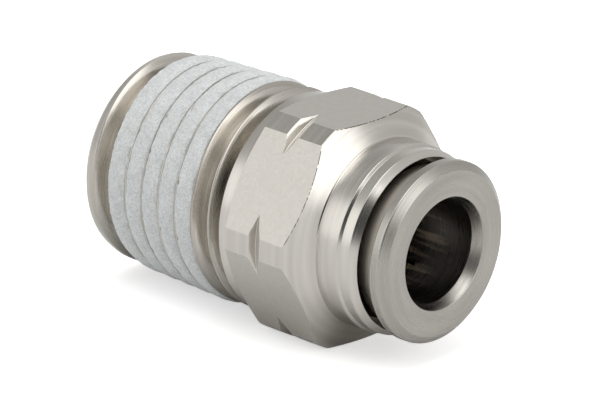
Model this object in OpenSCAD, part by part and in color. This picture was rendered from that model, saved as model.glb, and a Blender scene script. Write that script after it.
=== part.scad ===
// Push to connect fitting: straight male connector for a push-in tube.
// The axis runs along X. The tube goes in at the +X end and the tapered
// thread screws into its port at the -X end. The origin is the centre of the
// body's mouth, and the fitting lies on one flat of its hexagon.

/* [Tube] */
// Outside diameter of the tube that the fitting takes
tube_d = 6.35; // [6:0.05:6.35]
// Distance from the mouth to the shoulder that stops the tube
tube_stop_depth = 13; // [12.5:0.1:14]

/* [Hexagon] */
// Width across the flats
hex_across_flats = 14; // [13.6:0.1:14.4]
// Diameter to which the corners of the hexagon are turned
corner_d = 15.43; // [15.2:0.01:15.6]
// Diameter of the collar behind the hexagon, just under the width across the flats
collar_d = 13.92; // [13.6:0.02:13.92]
// Length of the collar
collar_length = 0.82; // [0.6:0.02:0.9]
// Distance from the mouth to the front end of the corner lands
hex_front_depth = 4; // [3.8:0.05:4.2]
// Length of the corner lands
land_length = 4.55; // [4:0.05:4.8]
// Slope of the hexagon's front and back cones, measured from a flat face
cone_slope = 30; // [25:1:35]
// Depth of the V groove that is turned round the corners
notch_depth = 0.5; // [0.2:0.01:0.5]

/* [Neck] */
// Diameter of the neck next to the cone
neck_d = 11.8; // [11.7:0.05:12]
// Diameter of the ring at the mouth
lip_ring_d = 11.54; // [11.4:0.02:11.6]
// Diameter of the hole in the mouth
mouth_d = 10.8; // [10.7:0.05:10.9]

/* [Thread] */
// Pitch of the tapered pipe thread, 18 turns to the inch
pitch = 1.411; // [1.4:0.001:1.42]
// Crest diameter at the small end of the thread
thread_small_d = 13.26; // [13.2:0.02:13.3]
// Distance from the mouth to the thread's end
thread_end_depth = 21.8; // [21.6:0.1:22]
// Diameter of the flow passage through the thread
passage_d = 5; // [4.5:0.1:5.4]

/* [Release button] */
// Diameter of the button's rim
rim_d = 11.34; // [11:0.02:11.4]
// Thickness of the rim
rim_thickness = 1.06; // [0.9:0.02:1.2]
// Gap between the rim and the mouth while the button is out
rim_gap = 1.12; // [1.1:0.02:1.3]
// Diameter of the shoulder behind the rim
shoulder_d = 9.76; // [9.5:0.02:9.8]
// Radial clearance between the tube and the button's bore
tube_clearance = 0.08; // [0.06:0.01:0.12]

/* [Grip] */
// Number of teeth on the grip ring
tooth_count = 12; // [8:1:14]
// Bite of the teeth into the tube, on the radius
tooth_bite = 0.12; // [0.05:0.01:0.12]
// Squeeze of the seal on the tube, on the radius
seal_squeeze = 0.12; // [0.05:0.01:0.12]

/* [Hidden] */
$fn = 96;

// Room that lets one cut run cleanly past the face it cuts.
past = 1;

tube_r = tube_d / 2;
flat_r = hex_across_flats / 2;
corner_r = corner_d / 2;

// Hexagon and its cones. Stations along the axis are distances from the mouth,
// so they are negative behind it.
hex_front = -hex_front_depth;
hex_back = hex_front - land_length;
neck_r = neck_d / 2;
front_cone_end = hex_front + (corner_r - neck_r) * tan(cone_slope);
collar_r = collar_d / 2;
back_cone_end = hex_back - (corner_r - collar_r) * tan(cone_slope);
collar_back = back_cone_end - collar_length;
collar_edge = 0.08;

// V groove round the corners: steep towards the thread, shallow towards the mouth.
notch_offset = 2.51;
notch_bottom = hex_front - notch_offset;
notch_back_width = 0.26;
notch_front_width = 0.71;

// Neck, fillet and mouth.
fillet_r = 0.15;
neck_step = -1.3;
ring_back = -1.14;
lip_ring_r = lip_ring_d / 2;
lip_back = -0.44;
lip_edge = 0.02;
mouth_r = mouth_d / 2;

// Socket, from the mouth inwards.
mouth_depth = 1.5;
press_r = 5;
grip_depth = 4.4;
grip_sheet = 0.25;
seat_depth = 6.6;
washer_thickness = 0.4;
seal_pocket_r = 4.75;
seal_pocket_length = 2;
seal_pocket_end = -seat_depth - washer_thickness - seal_pocket_length;
seal_inner_r = tube_r - seal_squeeze;
seal_section_r = (seal_pocket_r - seal_inner_r) / 2;
tube_bore_clearance = 0.075;
tube_bore_r = tube_r + tube_bore_clearance;
passage_r = passage_d / 2;
passage_mouth_chamfer = 0.5;

// Tapered thread: one unit of diameter in 16 of length, 60 degree grooves.
taper = 1 / 32;
thread_end = -thread_end_depth;
thread_small_r = thread_small_d / 2;
thread_blank_r = 6.93;
groove_depth = 0.8 * pitch;
crest_width = 0.1;
end_chamfer = 0.5;
lead_drop = 0.15;
lead_r = thread_small_r - lead_drop;
lead_length = 1.2;
first_crest = thread_end + lead_length;
groove_count = 7;
// Turned relief between the last crest and the collar.
relief_r = 6.1;
relief_run = 0.48;
// The sealant fills the grooves from this one on, and bulges past the crests.
sealed_from = 1;
sealed_to = 5;
sealant_bulge = 0.05;
bulge_steps = 6;

// Release button.
rim_r = rim_d / 2;
rim_back = rim_gap;
rim_face = rim_back + rim_thickness;
rim_chamfer = 0.51;
rim_chamfer_length = 0.42;
rim_edge = 0.06;
shoulder_r = shoulder_d / 2;
shoulder_end = -0.45;
button_bore_r = tube_r + tube_clearance;
lead_in_flare = 0.3;
lead_in_r = button_bore_r + lead_in_flare;
lead_in_length = 0.7;
guide_bore_r = 4.15;
running_clearance = 0.05;
sleeve_r = guide_bore_r - running_clearance;
sleeve_end = -4;
nose_r = 3.5;
nose_slope_length = 0.45;
bead_r = 4.45;
bead_front = -2.65;
bead_length = 0.4;
finger_slots = 4;
finger_slot_width = 0.5;
finger_slot_root = -2;

// Guide ring.
guide_step = -2.6;
guide_pocket_r = 4.6;
guide_chamfer = 0.15;

// Grip ring.
tooth_root_r = 4.35;
grip_ring_r = 4.95;
tooth_tip_r = tube_r - tooth_bite;
tooth_lean = 0.78;
tooth_slot_width = 0.35;
tooth_drop = tooth_lean * (tooth_root_r - tooth_tip_r);

// Grip seat and backup washer.
seat_cone_r = 4.45;
seat_clearance = 0.175;
seat_bore_r = tube_r + seat_clearance;
seat_cone_lean = 1.15;
washer_clearance = 0.125;
washer_bore_r = tube_r + washer_clearance;
washer_r = 4.72;

// Turns an outline drawn as [radius, station] round the X axis.
module turned() {
    rotate([0, 90, 0])
        rotate_extrude()
            children();
}

// A plain round hole or rod of radius r from station x0 to station x1.
module round_bar(r, x0, x1) {
    translate([x0, 0, 0])
        rotate([0, 90, 0])
            cylinder(r = r, h = x1 - x0);
}

// Crest radius of the thread at station x. The blank is parallel near the hexagon.
function crest_r(x) = min(thread_small_r + (x - thread_end) * taper, thread_blank_r);
function crest_x(i) = first_crest + i * pitch;

// Outline of one thread groove, as [radius, station]: two flanks that meet in the root.
function groove_points(i) =
    let (x0 = crest_x(i) + crest_width / 2)
    let (x1 = crest_x(i + 1) - crest_width / 2)
    let (root_x = (x0 + x1) / 2)
    [[crest_r(x0), x0], [crest_r(root_x) - groove_depth, root_x], [crest_r(x1), x1]];

// The thread as one outline: chamfered end, a lead that rises to the first crest,
// grooves, and a relief in front of the collar.
module thread_blank() {
    last_crest = crest_x(groove_count);
    polygon([
        [0, thread_end],
        [lead_r - end_chamfer, thread_end],
        [lead_r, thread_end + end_chamfer],
        [crest_r(first_crest), first_crest - crest_width / 2],
        for (i = [0 : groove_count - 1]) each groove_points(i),
        [thread_blank_r, last_crest],
        [relief_r, last_crest + relief_run],
        [relief_r, collar_back + past],
        [0, collar_back + past]]);
}

// Outline that turns the collar, the hexagon's corners, both cones and the corner groove.
module hex_turning() {
    polygon([
        [0, collar_back],
        [collar_r - collar_edge, collar_back],
        [collar_r, collar_back + collar_edge],
        [collar_r, back_cone_end],
        [corner_r, hex_back],
        [corner_r, notch_bottom - notch_back_width],
        [corner_r - notch_depth, notch_bottom],
        [corner_r, notch_bottom + notch_front_width],
        [corner_r, hex_front],
        [neck_r, front_cone_end],
        [0, front_cone_end]]);
}

// The neck: a fillet tangent to the cone, then the step, the ring and the lip of the mouth.
module neck_outline() {
    centre_r = neck_r + fillet_r;
    centre_x = front_cone_end + fillet_r * (1 / cos(cone_slope) - tan(cone_slope));
    difference() {
        polygon([
            [0, hex_front],
            [centre_r - fillet_r * sin(cone_slope), centre_x - fillet_r * cos(cone_slope)],
            [centre_r, centre_x],
            [neck_r, centre_x],
            [neck_r, neck_step],
            [lip_ring_r, ring_back],
            [lip_ring_r, lip_back],
            [mouth_r + lip_edge, 0],
            [0, 0]]);
        translate([centre_r, centre_x])
            circle(r = fillet_r);
    }
}

module body() {
    color([0.72, 0.70, 0.66])
    difference() {
        union() {
            intersection() {
                turned() hex_turning();
                translate([collar_back, 0, 0])
                    rotate([0, 90, 0])
                        rotate(30)
                            cylinder(r = flat_r / cos(30), h = front_cone_end - collar_back, $fn = 6);
            }
            turned() neck_outline();
            turned() thread_blank();
        }
        round_bar(mouth_r, -mouth_depth, past);
        round_bar(press_r, -seat_depth, past);
        round_bar(seal_pocket_r, seal_pocket_end, past);
        round_bar(tube_bore_r, -tube_stop_depth, past);
        round_bar(passage_r, thread_end - past, past);
        turned() polygon([
            [0, thread_end - past],
            [passage_r + passage_mouth_chamfer + past, thread_end - past],
            [passage_r, thread_end + passage_mouth_chamfer],
            [0, thread_end + passage_mouth_chamfer]]);
    }
}

// One turn of sealant: it fills the groove and bulges a little past both crests.
module sealant_turn(i) {
    groove = groove_points(i);
    x0 = groove[0][1];
    x1 = groove[2][1];
    polygon(concat(groove,
        [for (s = [bulge_steps - 1 : -1 : 1])
            let (x = x0 + (x1 - x0) * s / bulge_steps)
            [crest_r(x) + sealant_bulge * sin(180 * s / bulge_steps), x]]));
}

module thread_sealant() {
    color([0.90, 0.91, 0.91])
    for (i = [sealed_from : sealed_to])
        turned() sealant_turn(i);
}

// Button outline: rim, shoulder, sleeve with its captive bead, and the nose.
module button_outline() {
    polygon([
        [lead_in_r, rim_face],
        [rim_r - rim_chamfer, rim_face],
        [rim_r, rim_face - rim_chamfer_length],
        [rim_r, rim_back + rim_edge],
        [rim_r - rim_edge, rim_back],
        [shoulder_r, rim_back],
        [shoulder_r, shoulder_end],
        [sleeve_r, shoulder_end],
        [sleeve_r, bead_front],
        [bead_r, bead_front],
        [bead_r, bead_front - bead_length / 2],
        [sleeve_r, bead_front - bead_length],
        [sleeve_r, sleeve_end + nose_slope_length],
        [nose_r, sleeve_end],
        [button_bore_r, sleeve_end],
        [button_bore_r, rim_face - lead_in_length]]);
}

module release_button() {
    color([0.70, 0.68, 0.64])
    difference() {
        turned() button_outline();
        for (i = [0 : finger_slots - 1])
            rotate([45 + i * 360 / finger_slots, 0, 0])
                translate([sleeve_end - past, 0, -finger_slot_width / 2])
                    cube([finger_slot_root - sleeve_end + past, bead_r + past, finger_slot_width]);
    }
}

module guide_ring() {
    color([0.76, 0.66, 0.42])
    turned() polygon([
        [guide_bore_r + guide_chamfer, -mouth_depth],
        [press_r, -mouth_depth],
        [press_r, -grip_depth],
        [guide_pocket_r, -grip_depth],
        [guide_pocket_r, guide_step],
        [guide_bore_r, guide_step],
        [guide_bore_r, -mouth_depth - guide_chamfer]]);
}

// The grip ring's section: a flat rim, and a tooth that leans inwards and back.
module grip_ring() {
    color([0.80, 0.81, 0.82])
    difference() {
        turned() polygon([
            [grip_ring_r, -grip_depth],
            [grip_ring_r, -grip_depth - grip_sheet],
            [tooth_root_r, -grip_depth - grip_sheet],
            [tooth_tip_r, -grip_depth - grip_sheet - tooth_drop],
            [tooth_tip_r, -grip_depth - tooth_drop],
            [tooth_root_r, -grip_depth]]);
        for (i = [0 : tooth_count - 1])
            rotate([i * 360 / tooth_count, 0, 0])
                translate([-seat_depth, 0, -tooth_slot_width / 2])
                    cube([seat_depth - grip_depth + past, tooth_root_r, tooth_slot_width]);
    }
}

module grip_seat() {
    color([0.76, 0.66, 0.42])
    turned() polygon([
        [seat_cone_r, -grip_depth - grip_sheet],
        [grip_ring_r, -grip_depth - grip_sheet],
        [grip_ring_r, -seat_depth],
        [seat_bore_r, -seat_depth],
        [seat_bore_r, -grip_depth - grip_sheet - seat_cone_lean * (seat_cone_r - seat_bore_r)]]);
}

module backup_washer() {
    color([0.93, 0.92, 0.88])
    difference() {
        round_bar(washer_r, -seat_depth - washer_thickness, -seat_depth);
        round_bar(washer_bore_r, -seat_depth - washer_thickness - past, past);
    }
}

module tube_seal() {
    color([0.08, 0.08, 0.08])
    translate([seal_pocket_end + seal_pocket_length / 2, 0, 0])
        rotate([0, 90, 0])
            rotate_extrude()
                translate([seal_inner_r + seal_section_r, 0])
                    circle(r = seal_section_r);
}

body();
thread_sealant();
release_button();
guide_ring();
grip_ring();
grip_seat();
backup_washer();
tube_seal();
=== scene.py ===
import math
from collections import namedtuple

import bmesh
import bpy
from mathutils import Matrix, Vector, noise


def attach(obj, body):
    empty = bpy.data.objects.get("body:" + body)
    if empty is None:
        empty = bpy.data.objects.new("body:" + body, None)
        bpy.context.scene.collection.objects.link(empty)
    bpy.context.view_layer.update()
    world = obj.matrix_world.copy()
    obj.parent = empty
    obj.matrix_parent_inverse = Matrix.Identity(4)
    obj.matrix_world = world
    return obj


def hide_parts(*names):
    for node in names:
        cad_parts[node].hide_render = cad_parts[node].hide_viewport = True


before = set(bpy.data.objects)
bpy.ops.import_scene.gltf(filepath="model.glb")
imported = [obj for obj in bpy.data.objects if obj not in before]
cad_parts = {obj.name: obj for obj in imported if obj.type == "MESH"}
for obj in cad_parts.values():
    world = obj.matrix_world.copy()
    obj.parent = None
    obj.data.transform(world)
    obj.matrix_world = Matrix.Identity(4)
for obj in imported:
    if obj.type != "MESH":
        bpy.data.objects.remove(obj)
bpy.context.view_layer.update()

MM = 0.001
MICRON = 1e-6

# ---------------------------------------------------------------- dimensions
# All in millimetres, as in the CAD source. Stations along the axis are distances
# from the mouth: positive out of the tube end, negative towards the thread.

# Hexagon, with a V groove round its turned corners
FLAT_R = 7.0
CORNER_R = 7.715
HEX_FRONT = -4.0
HEX_BACK = -8.55
CONE_SLOPE = math.radians(30)
NOTCH_FRONT = -5.80
NOTCH_BOTTOM = -6.51
NOTCH_BACK = -6.77
NOTCH_R = 7.215

# Collar behind the hexagon
COLLAR_R = 6.96
COLLAR_LENGTH = 0.82
BACK_CONE_END = HEX_BACK - (CORNER_R - COLLAR_R) * math.tan(CONE_SLOPE)
COLLAR_BACK = BACK_CONE_END - COLLAR_LENGTH

# Neck and lip in front of the hexagon
NECK_R = 5.9
FRONT_CONE_END = HEX_FRONT + (CORNER_R - NECK_R) * math.tan(CONE_SLOPE)
FILLET_R = 0.15
NECK_STEP = -1.30
RING_BACK = -1.14
LIP_RING_R = 5.77
LIP_BACK = -0.44
LIP_LAND = 0.03
MOUTH_R = 5.4

# Socket and passage
MOUTH_DEPTH = -1.5
PRESS_R = 5.0
SEAT_DEPTH = -6.6
SEAL_POCKET_R = 4.75
SEAL_POCKET_END = -9.0
TUBE_BORE_R = 3.25
TUBE_STOP = -13.0
PASSAGE_R = 2.5
PASSAGE_CHAMFER = 0.5

# Thread: its helix is counted in turns from the first crest. The groove reaches its full
# depth at THREAD_START, after a run-in, and a plain land parts it from the end's chamfer.
PITCH = 1.411
TAPER = 1 / 32
THREAD_END = -21.8
THREAD_SMALL_R = 6.63
THREAD_BLANK_R = 6.93
GROOVE_DEPTH = 0.8 * PITCH
FIRST_CREST = -20.6
LAST_CREST = 7
END_CHAMFER = 0.5
LEAD_R = 6.48
LEAD_SLOPE = 0.3
LEAD_LAND = 0.08
LEAD_BACK = THREAD_END + END_CHAMFER + LEAD_LAND
THREAD_START = -0.4
THREAD_RUN_IN = 0.25
RELIEF_START = -10.35
RELIEF_R = 6.1
RELIEF_RUN = 0.4

# One pitch of thread, in shares of the pitch and of the groove's depth. The crest and the
# root are a little crowned: each bend lies at a share of the half width.
CREST_WIDTH = 0.1
HALF_CREST = CREST_WIDTH / PITCH / 2
HALF_ROOT = 0.06
CREST_EDGE_DEPTH = 0.02
CREST_DEPTH = 0.004
ROOT_EDGE_DEPTH = 0.94
ROOT_DEPTH = 0.99
CREST_BEND = 0.6
ROOT_BEND = 0.4

# Release button
RIM_R = 5.67
RIM_BACK = 1.12
RIM_FACE = 2.18
RIM_CHAMFER = 0.51
RIM_CHAMFER_LENGTH = 0.42
SHOULDER_R = 4.88
SHOULDER_END = -0.45
BUTTON_BORE_R = 3.255
LEAD_IN_R = 3.555
LEAD_IN_LENGTH = 0.7
SLEEVE_R = 4.1
SLEEVE_END = -4.0
NOSE_R = 3.5
NOSE_SLOPE = 0.45
BEAD_R = 4.45
BEAD_FRONT = -2.65
BEAD_LENGTH = 0.4
FINGER_SLOTS = 4
FIRST_SLOT = 45
SLOT_WIDTH = 0.5
SLOT_ROOT = -2.0

# The material slots of the two pieces that have more than one material; the socket's inside, the button's
# bore and what lies behind the rim carry painted shade and light
FINISH_TURNED, FINISH_FLAT, FINISH_THREAD, FINISH_INSIDE_PAINTED_SHADE = range(4)
BUTTON_TURNED, BUTTON_BORE_PAINTED, BUTTON_PAINTED_LIGHT = range(3)

# ------------------------------------------------------------ outline helpers

# The steps in an arc, its support points' distance, and the share of a side that it may take
ROUNDING_STEPS = 5
ROUNDING_SUPPORT = 0.03
ROUNDING_SHARE = 0.45


def rounded(corners):
    """Turns (x, r, rounding) corners into (x, r) points, with an arc at each corner.

    A rounding of 0 keeps a corner sharp. The support point on each side of an arc keeps
    its shading off the straight stretches.
    """
    out = []
    for i, (x, r, radius) in enumerate(corners):
        here = Vector((x, r))
        if radius <= 0 or i in (0, len(corners) - 1):
            out.append((x, r))
            continue
        before = Vector(corners[i - 1][:2]) - here
        after = Vector(corners[i + 1][:2]) - here
        half = before.angle(after) / 2
        cut = min(radius / math.tan(half), ROUNDING_SHARE * before.length, ROUNDING_SHARE * after.length)
        radius = cut * math.tan(half)
        before.normalize()
        after.normalize()
        centre = here + (before + after).normalized() * (radius / math.sin(half))
        start = here + before * cut
        spoke = start - centre
        sign = 1 if spoke.cross(here + after * cut - centre) > 0 else -1
        turn = sign * (math.pi - 2 * half)
        out.append(tuple(start + before * ROUNDING_SUPPORT))
        for step in range(ROUNDING_STEPS + 1):
            a = turn * step / ROUNDING_STEPS
            turned_x = spoke.x * math.cos(a) - spoke.y * math.sin(a)
            turned_r = spoke.x * math.sin(a) + spoke.y * math.cos(a)
            out.append(tuple(centre + Vector((turned_x, turned_r))))
        out.append(tuple(here + after * (cut + ROUNDING_SUPPORT)))
    return out


def smoothstep(a, b, x):
    """A smooth rise from 0 to 1 as x goes from a to b."""
    t = min(max((x - a) / (b - a), 0.0), 1.0)
    return t * t * (3 - 2 * t)


def crest_r(x):
    """Crest radius of the tapered thread at station x, past a lead that rises to the first crest."""
    lead = LEAD_R + (x - THREAD_END - END_CHAMFER) * LEAD_SLOPE
    return min(lead, THREAD_SMALL_R + (x - THREAD_END) * TAPER, THREAD_BLANK_R)


def relief_r(x):
    """Radius of the turned relief between the thread and the collar."""
    down = (x - RELIEF_START) / RELIEF_RUN
    return max(RELIEF_R, THREAD_BLANK_R - max(down, 0) * (THREAD_BLANK_R - RELIEF_R))


# --------------------------------------------------------------- mesh helpers

# Both distances are in metres
MERGE_DISTANCE = 2e-7
SMALLEST_EDGE = 1e-8
LATHE_COLUMNS = 144


def point(x, r, phi):
    """A point at station x, radius r and angle phi, which starts at -Y and turns towards +Z."""
    return (x * MM, -r * math.cos(phi) * MM, r * math.sin(phi) * MM)


def new_mesh(name, verts, faces, finishes=None, sharp_angle=20):
    """An object from vertices and faces: doubles merged, smooth, with sharp edges past the angle."""
    mesh = bpy.data.meshes.new(name)
    mesh.from_pydata(verts, [], faces)
    if finishes is not None:
        mesh.polygons.foreach_set("material_index", finishes)
    bm = bmesh.new()
    bm.from_mesh(mesh)
    bmesh.ops.remove_doubles(bm, verts=bm.verts, dist=MERGE_DISTANCE)
    bmesh.ops.dissolve_degenerate(bm, dist=SMALLEST_EDGE, edges=bm.edges)
    bmesh.ops.recalc_face_normals(bm, faces=bm.faces)
    limit = math.radians(sharp_angle)
    for face in bm.faces:
        face.smooth = True
    for edge in bm.edges:
        edge.smooth = not (len(edge.link_faces) == 2 and edge.calc_face_angle(0) > limit)
    bm.to_mesh(mesh)
    bm.free()
    obj = bpy.data.objects.new(name, mesh)
    bpy.context.scene.collection.objects.link(obj)
    return obj


def lathe(name, outline):
    """A closed outline of (x, r) points turned round the X axis."""
    columns = LATHE_COLUMNS
    verts = [point(x, r, 2 * math.pi * c / columns) for x, r in outline for c in range(columns)]
    faces = []
    for j in range(len(outline)):
        k = (j + 1) % len(outline)
        for c in range(columns):
            d = (c + 1) % columns
            faces.append((j * columns + c, j * columns + d, k * columns + d, k * columns + c))
    return new_mesh(name, verts, faces)


# ----------------------------------------------------------------- the body

# The grid's columns: over each flat, and over the turned land from it to the next flat
SIDES = 6
FLAT_COLUMNS = 6
LAND_COLUMNS = 24
SECTOR_COLUMNS = FLAT_COLUMNS + LAND_COLUMNS
SECTOR = math.radians(360 / SIDES)
FIRST_FLAT = math.radians(-150)

# The spacing of the points along a flat's curved end, and the half width of its tip
FLAT_END_STEP = 0.22
FLAT_END_TIP = 1e-9
FILLET_STEPS = 8

# How far a point may be off a surface and still count as on it
ON_SURFACE = 1e-6
BORE_SLACK = 0.01


def body_ring(x, r):
    """One ring of the body's grid. Past the flats' radius its columns slide to follow their edges."""
    half = math.acos(FLAT_R / r) if r > FLAT_R else 0.0
    ring = []
    for k in range(SIDES):
        middle = FIRST_FLAT + k * SECTOR
        for i in range(FLAT_COLUMNS + 1):
            if half == 0:
                ring.append((x, r, middle))
                continue
            phi = math.atan(math.tan(half) * (2 * i / FLAT_COLUMNS - 1))
            ring.append((x, FLAT_R / math.cos(phi), middle + phi))
        start = middle + half
        width = SECTOR - 2 * half
        for i in range(1, LAND_COLUMNS):
            ring.append((x, r, start + width * i / LAND_COLUMNS))
    return ring


def flank(start, end, shares):
    """Points between two (share of the pitch, depth) points, at the given shares of the way."""
    return [tuple(a + (b - a) * t for a, b in zip(start, end)) for t in shares]


def thread_shape():
    """One pitch of thread from crest to crest, as (share of the pitch, share of the depth)."""
    crest_start = (HALF_CREST, CREST_EDGE_DEPTH)
    crest_end = (1 - HALF_CREST, CREST_EDGE_DEPTH)
    root_start = (0.5 - HALF_ROOT, ROOT_EDGE_DEPTH)
    root_end = (0.5 + HALF_ROOT, ROOT_EDGE_DEPTH)
    crest_bend = HALF_CREST * CREST_BEND
    root_bend = HALF_ROOT * ROOT_BEND
    shape = [(0, 0), (crest_bend, CREST_DEPTH), crest_start]
    shape += flank(crest_start, root_start, (0.06, 0.4, 0.8, 1))
    shape += [(0.5 - root_bend, ROOT_DEPTH), (0.5 + root_bend, ROOT_DEPTH), root_end]
    shape += flank(root_end, crest_end, (0.2, 0.6, 0.94, 1))
    shape += [(1 - crest_bend, CREST_DEPTH)]
    return shape


THREAD_SHAPE = thread_shape()


def thread_rings(angles):
    """The right-handed helix, from its plain lead to the relief before the collar.

    The rings wind with the thread, so its crests and roots run along them. Each ring
    is held within the threaded length, where its points meet the plain rings.
    """
    steps = len(THREAD_SHAPE)
    rings = []
    for q in range(-steps, (LAST_CREST + 2) * steps + 1):
        turn, m = divmod(q, steps)
        share, depth = THREAD_SHAPE[m]
        ring = []
        for phi in angles:
            winding = phi / (2 * math.pi)
            x = FIRST_CREST + PITCH * (turn + share - winding)
            x = min(max(x, LEAD_BACK), COLLAR_BACK)
            run_in = smoothstep(THREAD_START - THREAD_RUN_IN, THREAD_START, turn - winding)
            groove = GROOVE_DEPTH * depth * run_in
            ring.append((x, min(crest_r(x) - groove, relief_r(x)), phi))
        rings.append(ring)
    return rings


def follow_flats(outline):
    """Adds points to the stretches that cross a flat's edge, so that the flats' ends come out curved.

    w is the distance from a flat's centre line to its edge, at each end of a stretch.
    """
    out = [outline[0]]
    for (x0, r0), (x1, r1) in zip(outline, outline[1:]):
        w0, w1 = (math.sqrt(max(r * r - FLAT_R * FLAT_R, 0)) for r in (r0, r1))
        count = round(abs(w1 - w0) / FLAT_END_STEP)
        if count > 1:
            widths = [w0 + (w1 - w0) * i / count for i in range(1, count + 1)]
            if r0 < FLAT_R:
                widths.insert(0, FLAT_END_TIP)
            for w in widths:
                r = math.sqrt(FLAT_R * FLAT_R + w * w)
                out.append((x0 + (x1 - x0) * (r - r0) / (r1 - r0), r))
        if count <= 1 or r1 < FLAT_R:
            out.append((x1, r1))
    return out


def body_outline():
    """The body's turned outline: from the collar's back, over the hexagon, through the socket to the lead."""
    centre_x = FRONT_CONE_END + FILLET_R * (1 / math.cos(CONE_SLOPE) - math.tan(CONE_SLOPE))
    centre_r = NECK_R + FILLET_R
    fillet = []
    for i in range(FILLET_STEPS + 1):
        a = CONE_SLOPE + (math.pi / 2 - CONE_SLOPE) * i / FILLET_STEPS
        fillet.append((centre_x - FILLET_R * math.cos(a), centre_r - FILLET_R * math.sin(a), 0))
    return rounded([
        (COLLAR_BACK, RELIEF_R, 0),
        (COLLAR_BACK, COLLAR_R, 0.07),
        (BACK_CONE_END, COLLAR_R, 0),
        (HEX_BACK, CORNER_R, 0.03),
        (NOTCH_BACK, CORNER_R, 0.015),
        (NOTCH_BOTTOM, NOTCH_R, 0.04),
        (NOTCH_FRONT, CORNER_R, 0.015),
        (HEX_FRONT, CORNER_R, 0.04),
        *fillet,
        (NECK_STEP, NECK_R, 0.05),
        (RING_BACK, LIP_RING_R, 0.03),
        (LIP_BACK, LIP_RING_R, 0.05),
        (0, MOUTH_R + LIP_LAND, 0.02),
        (0, MOUTH_R, 0.01),
        (MOUTH_DEPTH, MOUTH_R, 0),
        (MOUTH_DEPTH, PRESS_R, 0),
        (SEAT_DEPTH, PRESS_R, 0),
        (SEAT_DEPTH, SEAL_POCKET_R, 0),
        (SEAL_POCKET_END, SEAL_POCKET_R, 0),
        (SEAL_POCKET_END, TUBE_BORE_R, 0.05),
        (TUBE_STOP, TUBE_BORE_R, 0),
        (TUBE_STOP, PASSAGE_R, 0.05),
        (THREAD_END + PASSAGE_CHAMFER, PASSAGE_R, 0.05),
        (THREAD_END, PASSAGE_R + PASSAGE_CHAMFER, 0.04),
        (THREAD_END, LEAD_R - END_CHAMFER, 0.06),
        (THREAD_END + END_CHAMFER, LEAD_R, 0.06),
        (LEAD_BACK, crest_r(LEAD_BACK), 0)])


def make_body():
    """The whole body as one closed grid: the helix's rings, then the outline's, back round to the first."""
    angles = [phi for _, _, phi in body_ring(0, 1)]
    columns = len(angles)
    winding = thread_rings(angles)
    rings = winding + [body_ring(x, r) for x, r in follow_flats(body_outline())]
    verts = [point(*place) for ring in rings for place in ring]
    mouth = max(j for j, ring in enumerate(rings) if ring[0][0] >= -ON_SURFACE)
    faces = []
    finishes = []
    for j in range(len(rings)):
        k = (j + 1) % len(rings)
        helical = 0 < k < len(winding)
        for c in range(columns):
            d = (c + 1) % columns
            # The helix climbs a pitch each turn, so at the seam a ring meets the one a pitch back.
            shift = len(THREAD_SHAPE) if helical and d == 0 else 0
            if j < shift:
                continue
            near = (j * columns + c, (j - shift) * columns + d)
            far = ((k - shift) * columns + d, k * columns + c)
            faces.append(near + far)
            x, r, _ = rings[j][c]
            if helical:
                finishes.append(FINISH_THREAD)
            # The socket's inside takes a darker copy of the nickel: painted shade.
            elif j > mouth and THREAD_END < x < 0 and r < MOUTH_R + BORE_SLACK:
                finishes.append(FINISH_INSIDE_PAINTED_SHADE)
            elif c % SECTOR_COLUMNS < FLAT_COLUMNS and r > FLAT_R - ON_SURFACE:
                finishes.append(FINISH_FLAT)
            else:
                finishes.append(FINISH_TURNED)
    return new_mesh("fitting_body", verts, faces, finishes)


# ------------------------------------------------------------- the sealant

# Where the band starts and ends, in turns from the first crest, and its grid
SEALANT_START = 0.45
SEALANT_END = 5.47
SECTIONS_PER_TURN = 360
SEALANT_STEPS = 14

# Its top: how high it bulges past the crests, how low its edges lie, and its grain, which
# fades out over the outer quarters. It tapers off at both ends and keeps clear of the floor.
SEALANT_BULGE = 0.17
SWELL_POWER = 0.8
END_TAPER = 0.02
EDGE_SINK = 0.015
EDGE_FADE = 4
GRAIN = ((0.02, 0.45, 1), (0.014, 0.16, 2))  # height, size and seed of each noise
FLOOR_CLEARANCE = 0.01

# Its underside, as (share of the pitch, share of the groove's depth)
UNDERSIDE = ((0.94, 0.1), (0.74, 0.52), (0.5, 0.99), (0.26, 0.52), (0.06, 0.1))
UNDERSIDE_SINK = 0.01

# Its edges: what share of a half crest each leaves bare, then (size, seed) of its fine
# and broad unevenness and of its chips
LEFT_EDGE = (1.4, (0.22, 3), (0.7, 5), (0.55, 11))
RIGHT_EDGE = (1.3, (0.25, 9), (0.9, 7), (0.6, 13))
RAGGED = 0.8
BROAD_SHARE = 0.7
CHIP = 0.07
CHIP_RANGE = (0.25, 0.5)

# The first turn has no neighbour, so it laps over the crest beside it
FIRST_TURN_END = (1.4, 1.45)
LAP = 1.2
LAP_RAGGED = 1.1

# The radius at which its noise is read
NOISE_R = 6.8


def on_thread(x, phi):
    """The place, in millimetres, at which the sealant's noise is read."""
    return tuple(v / MM for v in point(x, NOISE_R, phi))


def rough(place, size, seed):
    """Smooth noise between about -1 and 1, with features of the given size in millimetres."""
    x, y, z = place
    return noise.noise(Vector((x / size + seed, y / size, z / size)))


def unevenness(place, fine, broad):
    """How uneven an edge is at a place, from fine and broad noise, each a (size, seed)."""
    return rough(place, *fine) + BROAD_SHARE * rough(place, *broad)


def edge_inset(place, bare, fine, broad, chip):
    """How far an edge keeps from the crest's middle, as a share of the pitch."""
    line = HALF_CREST * (bare - RAGGED * unevenness(place, fine, broad))
    return line + CHIP * smoothstep(*CHIP_RANGE, rough(place, *chip))


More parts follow.
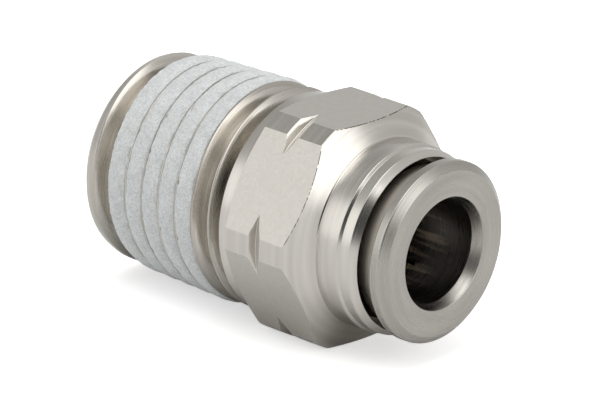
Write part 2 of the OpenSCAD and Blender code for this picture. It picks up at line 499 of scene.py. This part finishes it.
def sealant_section(h):
    """The sealant's section at the winding h, which counts turns of the helix from the first crest.

    Its top bulges past the two crests beside it and its underside lies on the groove.
    """
    phi = (math.floor(h + 0.5) - h) * 2 * math.pi
    crest = on_thread(FIRST_CREST + PITCH * h, phi)
    first_turn = 1 - smoothstep(*FIRST_TURN_END, h)
    lap = HALF_CREST * (LAP + LAP_RAGGED * unevenness(crest, *LEFT_EDGE[1:3]))
    left = edge_inset(crest, *LEFT_EDGE) * (1 - first_turn) - first_turn * lap
    right = edge_inset(crest, *RIGHT_EDGE)
    grow = smoothstep(0, END_TAPER, h - SEALANT_START) * smoothstep(0, END_TAPER, SEALANT_END - h)
    top = []
    for i in range(SEALANT_STEPS + 1):
        across = i / SEALANT_STEPS
        x = FIRST_CREST + PITCH * (h + left + (1 - left - right) * across)
        swell = math.sin(math.pi * across) ** SWELL_POWER * SEALANT_BULGE * grow
        place = on_thread(x, phi)
        grain = sum(height * rough(place, size, seed) for height, size, seed in GRAIN)
        fade = min(1, EDGE_FADE * across, EDGE_FADE * (1 - across))
        r = crest_r(x) - EDGE_SINK + swell + grain * fade
        if math.sin(phi) < 0:
            r = min(r, (FLAT_R - FLOOR_CLEARANCE) / -math.sin(phi))
        top.append((x, r, phi))
    under = []
    for share, depth in UNDERSIDE:
        x = FIRST_CREST + PITCH * (h + share)
        under.append((x, crest_r(x) - GROOVE_DEPTH * depth - UNDERSIDE_SINK, phi))
    return top + under


def make_sealant():
    """The sealant as one band, swept along the groove and closed at both ends."""
    turns = SEALANT_END - SEALANT_START
    count = round(turns * SECTIONS_PER_TURN)
    sections = [sealant_section(SEALANT_START + turns * i / count) for i in range(count + 1)]
    width = len(sections[0])
    verts = [point(*place) for section in sections for place in section]
    faces = [tuple(range(width)), tuple(range(count * width, (count + 1) * width))]
    for i in range(count):
        for c in range(width):
            d = (c + 1) % width
            faces.append((i * width + c, i * width + d, (i + 1) * width + d, (i + 1) * width + c))
    return new_mesh("thread_sealant_coat", verts, faces, sharp_angle=60)


# -------------------------------------------------------------- the button

# How far the slots' bars reach past the bead
BAR_MARGIN = 1

# The rim's back is what lies this near its plane, apart from an outer edge this wide
RIM_BACK_SLACK = 0.02
RIM_BACK_EDGE = 0.2


def button_outline():
    """The button's turned outline, from the bore over the rim and the sleeve to its inner end."""
    return rounded([
        (RIM_FACE - LEAD_IN_LENGTH, BUTTON_BORE_R, 0),
        (RIM_FACE, LEAD_IN_R, 0.10),
        (RIM_FACE, RIM_R - RIM_CHAMFER, 0.07),
        (RIM_FACE - RIM_CHAMFER_LENGTH, RIM_R, 0.10),
        (RIM_BACK, RIM_R, 0.12),
        (RIM_BACK, SHOULDER_R, 0.04),
        (SHOULDER_END, SHOULDER_R, 0.04),
        (SHOULDER_END, SLEEVE_R, 0.04),
        (BEAD_FRONT, SLEEVE_R, 0),
        (BEAD_FRONT, BEAD_R, 0.04),
        (BEAD_FRONT - BEAD_LENGTH / 2, BEAD_R, 0.04),
        (BEAD_FRONT - BEAD_LENGTH, SLEEVE_R, 0),
        (SLEEVE_END + NOSE_SLOPE, SLEEVE_R, 0.1),
        (SLEEVE_END, NOSE_R, 0.05),
        (SLEEVE_END, BUTTON_BORE_R, 0)])


def slot_fingers(button):
    """Cuts the sleeve's inner end into fingers. Each bar goes right across and cuts two slots."""
    bars = []
    for i in range(FINGER_SLOTS // 2):
        bpy.ops.mesh.primitive_cube_add(size=1)
        bar = bpy.context.object
        bar.scale = Vector((2 * (SLOT_ROOT - SLEEVE_END), 2 * (BEAD_R + BAR_MARGIN), SLOT_WIDTH)) * MM
        bar.location = (SLEEVE_END * MM, 0, 0)
        bar.rotation_euler.x = math.radians(FIRST_SLOT + 90 * i)
        cut = button.modifiers.new("slot", "BOOLEAN")
        cut.operation = "DIFFERENCE"
        cut.solver = "EXACT"
        cut.object = bar
        bars.append(bar)
    bpy.context.view_layer.update()
    evaluated = button.evaluated_get(bpy.context.evaluated_depsgraph_get())
    button.modifiers.clear()
    uncut = button.data
    button.data = bpy.data.meshes.new_from_object(evaluated)
    bpy.data.meshes.remove(uncut)
    for bar in bars:
        bpy.data.objects.remove(bar)


def finish_button(button):
    """Gives the bore darkened metal with painted shade and highlights, the rim its nickel, and what lies
    behind the rim a lighter copy with painted light.
    """
    for face in button.data.polygons:
        x, y, z = face.center / MM
        r = math.hypot(y, z)
        behind_rim = x < RIM_BACK - RIM_BACK_SLACK
        rim_back = x < RIM_BACK + RIM_BACK_SLACK and r < RIM_R - RIM_BACK_EDGE
        # The bore's slot takes metal with painted shade and painted highlight streaks.
        if r < BUTTON_BORE_R + BORE_SLACK and x < RIM_FACE - LEAD_IN_LENGTH:
            face.material_index = BUTTON_BORE_PAINTED
        # What lies behind the rim takes a lighter copy of the button's nickel: painted light in its shade.
        elif behind_rim or rim_back:
            face.material_index = BUTTON_PAINTED_LIGHT
        else:
            face.material_index = BUTTON_TURNED


def make_button():
    """The button: turned, slotted into fingers and marked for its finishes."""
    button = lathe("release_button_turned", button_outline())
    slot_fingers(button)
    finish_button(button)
    return button


# ------------------------------------------------------------ node helpers

# The range that noise mostly stays in
NOISE_LOW = 0.25
NOISE_HIGH = 0.75

# A Mix node's sockets by kind: its two inputs and its output
MIX_SOCKETS = {"FLOAT": (2, 3, 0), "RGBA": (6, 7, 2)}

# The sockets that along_axis() gives
Axis = namedtuple("Axis", "place x r cos sin")


def new_material(name):
    """A material with its node tree and its shader."""
    material = bpy.data.materials.new(name)
    material.use_nodes = True
    tree = material.node_tree
    return material, tree, tree.nodes["Principled BSDF"]


def add(tree, kind, inputs=None, **settings):
    """A node with its settings and its inputs, which are values or other nodes' outputs."""
    node = tree.nodes.new(kind)
    for key, value in settings.items():
        setattr(node, key, value)
    for key, value in (inputs or {}).items():
        if isinstance(value, bpy.types.NodeSocket):
            tree.links.new(value, node.inputs[key])
        else:
            node.inputs[key].default_value = value
    return node


def maths(tree, operation, *values):
    """The output of a Math node."""
    return add(tree, "ShaderNodeMath", dict(enumerate(values)), operation=operation).outputs[0]


def map_range(tree, value, start, end, low=0.0, high=1.0):
    """A number that goes from low to high as value goes from start to end."""
    return add(tree, "ShaderNodeMapRange", {
        "Value": value, "From Min": start, "From Max": end, "To Min": low, "To Max": high}).outputs[0]


def noise_at(tree, place, scale, detail):
    """The output of a Noise node at a place."""
    return add(tree, "ShaderNodeTexNoise", {"Vector": place, "Scale": scale, "Detail": detail}).outputs[0]


def mix(tree, kind, share, first, second):
    """A blend of two numbers (FLOAT) or colours (RGBA)."""
    a, b, result = MIX_SOCKETS[kind]
    return add(tree, "ShaderNodeMix", {"Factor": share, a: first, b: second}, data_type=kind).outputs[result]


def blend_colours(tree, factor, low, high, start=0.3, end=0.7):
    """A colour that goes from low to high as factor goes from start to end."""
    ramp = add(tree, "ShaderNodeValToRGB", {"Fac": factor})
    for stop, position, colour in zip(ramp.color_ramp.elements, (start, end), (low, high)):
        stop.position = position
        stop.color = (*colour, 1)
    return ramp.outputs["Color"]


def along_axis(tree):
    """Sockets for the place, its station x, its radius r, and the cosine and sine of its angle about X."""
    place = add(tree, "ShaderNodeTexCoord").outputs["Object"]
    split = add(tree, "ShaderNodeSeparateXYZ", {0: place})
    x, y, z = (split.outputs[axis] for axis in "XYZ")
    r = maths(tree, "SQRT", maths(tree, "ADD", maths(tree, "MULTIPLY", y, y), maths(tree, "MULTIPLY", z, z)))
    return Axis(place, x, r, maths(tree, "DIVIDE", y, r), maths(tree, "DIVIDE", z, r))


def ring_noise(tree, axis, across, around, detail=3.0):
    """Noise drawn out into rings about the X axis: fine across the rings, slow around them.

    across is the number of features to the millimetre, around the number to a radius of arc.
    """
    fine_x = maths(tree, "MULTIPLY", axis.x, across / MM)
    fine_r = maths(tree, "MULTIPLY", axis.r, across / MM)
    place = add(tree, "ShaderNodeCombineXYZ", {
        "X": maths(tree, "SUBTRACT", fine_x, fine_r),
        "Y": maths(tree, "MULTIPLY", axis.cos, around),
        "Z": maths(tree, "MULTIPLY", axis.sin, around)})
    return noise_at(tree, place.outputs[0], 1.0, detail)


def streak_noise(tree, axis, along, around):
    """Noise drawn out into streaks along the X axis."""
    place = add(tree, "ShaderNodeCombineXYZ", {
        "X": maths(tree, "MULTIPLY", axis.x, along),
        "Y": maths(tree, "MULTIPLY", axis.cos, around),
        "Z": maths(tree, "MULTIPLY", axis.sin, around)})
    return noise_at(tree, place.outputs[0], 1.0, 2.0)


def finish_surface(tree, shader, colour, texture, roughness, bump):
    """Links the colour, and lets the roughness and a bump, in microns, follow the texture."""
    tree.links.new(colour, shader.inputs["Base Color"])
    follow = map_range(tree, texture, NOISE_LOW, NOISE_HIGH, *roughness)
    tree.links.new(follow, shader.inputs["Roughness"])
    normal = add(tree, "ShaderNodeBump", {"Strength": 1.0, "Distance": bump * MICRON, "Height": texture})
    tree.links.new(normal.outputs[0], shader.inputs["Normal"])


# --------------------------------------------------------------- materials
# Colours are linear. Each finish has a low and a high colour and a range of roughness, which
# its noise runs between, and a bump in microns. Noise scales are features to the metre, or
# round the axis to a radius of arc, unless their names say otherwise.

# Turned rings, and how often they break off round the axis
RINGS_PER_MM = 9.0
BROAD_RINGS_PER_MM = RINGS_PER_MM / 5
RING_BREAKS = 1.2
BROAD_RING_BREAKS = 0.8
TURNED_ANISOTROPY = 0.5

# The bore's rings and its painted highlight streaks, and the station at which the streaks are at full
# strength
BORE_RINGS_PER_MM = 14.0
HIGHLIGHT_STREAK_ALONG = 220.0
HIGHLIGHT_STREAKS_AROUND = 9.0
HIGHLIGHT_STREAK_RANGE = (0.50, 0.66)
HIGHLIGHT_STREAK_DEPTH = -2.5

# The plated flats
FLAT_GRAIN = 9000.0
FLAT_CLOUDS = 3500.0

# The painted shade line along the upper flats' edges, where a small rounded edge shows dark: its width, the
# station it starts at, the height over which it fades in, its speckle, and the angles of the flats' normals,
# three of which stand for all six
EDGE_SHADE_WIDTH = 0.06
EDGE_SHADE_START = HEX_FRONT + 0.03
EDGE_SHADE_FADE = 0.5
EDGE_SHADE_SPECKLE = 4500.0
EDGE_SHADE_RANGE = (0.38, 0.52)
EDGE_SHADE_FLATS = tuple(math.radians(angle) for angle in (-30, 30, 90))


def edge_shade_share(tree, axis):
    """How much of the painted shade line shows: a thin, broken dark line on the front cone, along the upper
    flats' edges.

    The largest distance along the flats' normals, either way, comes up to FLAT_R at the
    edge of every flat.
    """
    reach = None
    for angle in EDGE_SHADE_FLATS:
        normal = (0, -math.cos(angle), math.sin(angle))
        along = add(tree, "ShaderNodeVectorMath", {0: axis.place, 1: normal}, operation="DOT_PRODUCT")
        distance = maths(tree, "ABSOLUTE", along.outputs["Value"])
        reach = distance if reach is None else maths(tree, "MAXIMUM", distance, reach)
    line = map_range(tree, reach, (FLAT_R - EDGE_SHADE_WIDTH) * MM, (FLAT_R - EDGE_SHADE_WIDTH / 2) * MM)
    height = add(tree, "ShaderNodeSeparateXYZ", {0: axis.place}).outputs["Z"]
    above = map_range(tree, height, 0.0, EDGE_SHADE_FADE * MM)
    on_cone = maths(tree, "GREATER_THAN", axis.x, EDGE_SHADE_START * MM)
    broken = map_range(tree, noise_at(tree, axis.place, EDGE_SHADE_SPECKLE, 1.0), *EDGE_SHADE_RANGE)
    whole = maths(tree, "MULTIPLY", maths(tree, "MULTIPLY", line, above), on_cone)
    return maths(tree, "MULTIPLY", whole, broken)


def turned_metal(name, low, high, roughness, bump, edge_shade=None):
    """Metal with the fine rings that turning leaves, and, if a colour is given, a painted shade line of that
    colour along the upper flats' edges.
    """
    material, tree, shader = new_material(name)
    axis = along_axis(tree)
    rings = ring_noise(tree, axis, RINGS_PER_MM, RING_BREAKS)
    broad = ring_noise(tree, axis, BROAD_RINGS_PER_MM, BROAD_RING_BREAKS, detail=1.0)
    colour = blend_colours(tree, broad, low, high)
    if edge_shade:
        colour = mix(tree, "RGBA", edge_shade_share(tree, axis), colour, (*edge_shade, 1))
    finish_surface(tree, shader, colour, rings, roughness, bump)
    shader.inputs["Metallic"].default_value = 1.0
    shader.inputs["Anisotropic"].default_value = TURNED_ANISOTROPY
    tangent = add(tree, "ShaderNodeTangent", direction_type="RADIAL", axis="X")
    tree.links.new(tangent.outputs[0], shader.inputs["Tangent"])
    return material


def bore_metal_with_painted_shade(name, low, high, painted_highlight, roughness, bump):
    """Bored metal darkened as painted shade: fine rings, with paler streaks drawn along the bore as painted
    highlights that start inside it.
    """
    material, tree, shader = new_material(name)
    axis = along_axis(tree)
    rings = ring_noise(tree, axis, BORE_RINGS_PER_MM, RING_BREAKS)
    streaks = map_range(tree, streak_noise(tree, axis, HIGHLIGHT_STREAK_ALONG, HIGHLIGHT_STREAKS_AROUND), *HIGHLIGHT_STREAK_RANGE)
    depth = map_range(tree, axis.x, 0.0, HIGHLIGHT_STREAK_DEPTH * MM)
    share = maths(tree, "MULTIPLY", streaks, depth)
    colour = mix(tree, "RGBA", share, blend_colours(tree, rings, low, high), (*painted_highlight, 1))
    finish_surface(tree, shader, colour, rings, roughness, bump)
    shader.inputs["Metallic"].default_value = 1.0
    return material


def milled_metal(name, low, high, roughness, bump):
    """Metal with the fine even grain of a plated flat."""
    material, tree, shader = new_material(name)
    place = add(tree, "ShaderNodeTexCoord").outputs["Object"]
    grain = noise_at(tree, place, FLAT_GRAIN, 2.0)
    colour = blend_colours(tree, noise_at(tree, place, FLAT_CLOUDS, 4.0), low, high)
    finish_surface(tree, shader, colour, grain, roughness, bump)
    shader.inputs["Metallic"].default_value = 1.0
    return material


def grainy(name, low, high, roughness, bump, scale, cloudiness=0.5):
    """A matt coat or moulded piece with an even grain and a little cloudiness."""
    material, tree, shader = new_material(name)
    place = add(tree, "ShaderNodeTexCoord").outputs["Object"]
    grain = noise_at(tree, place, scale, 4.0)
    clouds = noise_at(tree, place, scale / 6, 2.0)
    mottle = mix(tree, "FLOAT", cloudiness, grain, clouds)
    colour = blend_colours(tree, mottle, low, high, 0.36, 0.64)
    finish_surface(tree, shader, colour, grain, roughness, bump)
    return material


def dress(obj, *materials):
    """Puts the materials into the object's slots, in order."""
    for i, material in enumerate(materials):
        if i < len(obj.material_slots):
            obj.material_slots[i].material = material
        else:
            obj.data.materials.append(material)


# The nickel's dark line along the upper flats' edges is painted shade, standing for the dark edge that a
# small rounding shows.
nickel = turned_metal(
    "nickel_turned", low=(0.53, 0.505, 0.465), high=(0.61, 0.585, 0.54),
    roughness=(0.13, 0.27), bump=0.5, edge_shade=(0.05, 0.045, 0.035))
nickel_thread = turned_metal(
    "nickel_thread", low=(0.41, 0.385, 0.345), high=(0.61, 0.58, 0.53),
    roughness=(0.10, 0.34), bump=1.2)
# A darker copy of the turned nickel for the socket's inside: painted shade.
nickel_inside_painted_shade = turned_metal(
    "nickel_inside_painted_shade", low=(0.30, 0.275, 0.24), high=(0.42, 0.39, 0.345),
    roughness=(0.25, 0.40), bump=0.8)
nickel_button = turned_metal(
    "nickel_button", low=(0.385, 0.368, 0.335), high=(0.445, 0.427, 0.392),
    roughness=(0.22, 0.34), bump=0.4)
# A lighter, browner, rougher copy of the button's nickel for what lies behind the rim: painted light in the
# rim's shade.
nickel_painted_light_in_shade = turned_metal(
    "nickel_painted_light_in_shade", low=(0.48, 0.44, 0.38), high=(0.56, 0.51, 0.45),
    roughness=(0.50, 0.65), bump=0.4)
# The button's bore is darkened far below the nickel as painted shade, with paler streaks as painted
# highlights.
nickel_bore_painted_shade_and_highlights = bore_metal_with_painted_shade(
    "nickel_bore_painted_shade_and_highlights", low=(0.11, 0.10, 0.088), high=(0.22, 0.20, 0.175), painted_highlight=(0.75, 0.62, 0.48),
    roughness=(0.22, 0.40), bump=1.0)
nickel_flat = milled_metal(
    "nickel_flat", low=(0.545, 0.52, 0.478), high=(0.585, 0.56, 0.515),
    roughness=(0.26, 0.38), bump=0.8)
# Brass darkened far below its own tone, for the parts deep in the socket: painted shade.
brass = turned_metal(
    "brass_turned_painted_shade", low=(0.10, 0.075, 0.04), high=(0.18, 0.14, 0.07),
    roughness=(0.35, 0.5), bump=0.5)
# Near-black brass for the guide ring, which sits in the mouth's gap: painted shade.
brass_painted_shade = turned_metal(
    "brass_painted_shade", low=(0.02, 0.017, 0.012), high=(0.04, 0.033, 0.02),
    roughness=(0.45, 0.6), bump=0.5)
steel = turned_metal(
    "spring_steel", low=(0.50, 0.50, 0.50), high=(0.62, 0.62, 0.61),
    roughness=(0.22, 0.32), bump=0.3)
sealant_coat = grainy(
    "sealant", low=(0.50, 0.512, 0.512), high=(0.72, 0.735, 0.735),
    roughness=(0.70, 0.85), bump=20.0, scale=8000.0, cloudiness=0.25)
washer_white = grainy(
    "washer_white", low=(0.80, 0.79, 0.74), high=(0.88, 0.87, 0.82),
    roughness=(0.45, 0.6), bump=3.0, scale=3000.0)
rubber = grainy(
    "seal_rubber", low=(0.02, 0.02, 0.02), high=(0.035, 0.035, 0.035),
    roughness=(0.5, 0.7), bump=3.0, scale=3000.0)

# ------------------------------------------------------------------ pieces

body = make_body()
dress(body, nickel, nickel_flat, nickel_thread, nickel_inside_painted_shade)
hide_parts("body")
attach(body, "fitting")

sealant = make_sealant()
dress(sealant, sealant_coat)
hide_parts("thread_sealant")
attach(sealant, "fitting")

button = make_button()
dress(button, nickel_button, nickel_bore_painted_shade_and_highlights, nickel_painted_light_in_shade)
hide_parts("release_button")
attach(button, "button")

# The guide ring and the grip seat take brass darkened far below its own tone: painted shade.
for node, material in (("guide_ring", brass_painted_shade), ("grip_ring", steel), ("grip_seat", brass),
                       ("backup_washer", washer_white), ("tube_seal", rubber)):
    dress(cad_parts[node], material)

# ------------------------------------------------------------ floor, light

FLOOR_Z = -FLAT_R * MM
FLOOR_HALF = 3.0
FLOOR_TONE = 0.85
FLOOR_ROUGHNESS = 0.8
FLOOR_LIFT = 0.55


def make_floor():
    """A plain white floor, which gives off a little light of its own to the camera's rays."""
    corners = [(x * FLOOR_HALF, y * FLOOR_HALF, FLOOR_Z) for x, y in ((-1, -1), (1, -1), (1, 1), (-1, 1))]
    mesh = bpy.data.meshes.new("floor")
    mesh.from_pydata(corners, [], [(0, 1, 2, 3)])
    floor = bpy.data.objects.new("floor", mesh)
    bpy.context.scene.collection.objects.link(floor)
    material, tree, shader = new_material("floor_white")
    shader.inputs["Base Color"].default_value = (FLOOR_TONE, FLOOR_TONE, FLOOR_TONE, 1)
    shader.inputs["Roughness"].default_value = FLOOR_ROUGHNESS
    shader.inputs["Emission Color"].default_value = (1, 1, 1, 1)
    seen = add(tree, "ShaderNodeLightPath").outputs["Is Camera Ray"]
    tree.links.new(maths(tree, "MULTIPLY", seen, FLOOR_LIFT), shader.inputs["Emission Strength"])
    dress(floor, material)


make_floor()

# The studio is a dome: an even level, with soft lights and dark cards set into it.
# Each has a direction, its inner and outer radius in degrees, and what it adds.
DOME_LEVEL = 0.71
DOME_LOBES = (
    ((-0.61, -0.74, 0.29), 8, 26, 0.66),     # soft light at the front left
    ((0.90, 0.15, 0.41), 12, 29, 1.45),      # strong soft light at the right
    ((0.67, -0.61, 0.42), 15, 29, -0.64),    # dark card on the camera's side
    ((0.14, -0.90, 0.42), 10, 26, -0.50),    # dark card in front
    ((-0.64, 0.10, 0.76), 8, 42, -0.22),     # faint dark card overhead, to the left
    ((-0.04, -0.16, 0.98), 16, 35, 1.9),     # ceiling light
    ((0.55, -0.24, 0.80), 3, 9, 1.0),        # narrow light above the button
)


def make_dome():
    """The world's light: the dome's level with every lobe added to it."""
    world = bpy.data.worlds.new("studio")
    bpy.context.scene.world = world
    world.use_nodes = True
    tree = world.node_tree
    place = add(tree, "ShaderNodeTexCoord").outputs["Generated"]
    total = DOME_LEVEL
    for direction, inner, outer, gain in DOME_LOBES:
        towards = add(tree, "ShaderNodeVectorMath", {0: place, 1: Vector(direction).normalized()},
                      operation="DOT_PRODUCT")
        lobe = add(tree, "ShaderNodeMapRange", {
            "Value": towards.outputs["Value"],
            "From Min": math.cos(math.radians(outer)),
            "From Max": math.cos(math.radians(inner)),
            "To Min": 0.0,
            "To Max": gain}, interpolation_type="SMOOTHSTEP")
        total = maths(tree, "ADD", lobe.outputs[0], total)
    background = tree.nodes["Background"]
    background.inputs["Color"].default_value = (1, 1, 1, 1)
    tree.links.new(total, background.inputs["Strength"])


make_dome()
bpy.context.scene.view_settings.view_transform = "Standard"

# ------------------------------------------------------------------ camera

AZIMUTH = math.radians(41.579)
ELEVATION = math.radians(20.663)
ROLL = math.radians(1.948)
AIM = Vector((-5.24, -4.81, 2.60)) * MM
DISTANCE = 357.9 * MM
LENS = 360
SENSOR_WIDTH = 36
CLIP = (0.01, 20)


def make_camera():
    """A camera at its azimuth from -Y towards +X, its elevation and its roll, aimed at AIM."""
    camera = bpy.data.cameras.new("camera")
    camera.lens = LENS
    camera.sensor_width = SENSOR_WIDTH
    camera.clip_start, camera.clip_end = CLIP
    holder = bpy.data.objects.new("camera", camera)
    bpy.context.scene.collection.objects.link(holder)
    level = math.cos(ELEVATION)
    back = Vector((math.sin(AZIMUTH) * level, -math.cos(AZIMUTH) * level, math.sin(ELEVATION)))
    right = Vector((math.cos(AZIMUTH), math.sin(AZIMUTH), 0))
    up = back.cross(right)
    tilted_right = right * math.cos(ROLL) + up * math.sin(ROLL)
    tilted_up = up * math.cos(ROLL) - right * math.sin(ROLL)
    place = Matrix((tilted_right, tilted_up, back)).transposed().to_4x4()
    place.translation = AIM + back * DISTANCE
    holder.matrix_world = place
    bpy.context.scene.camera = holder


make_camera()

# -------------------------------------------------------------------- update

bpy.context.view_layer.update()
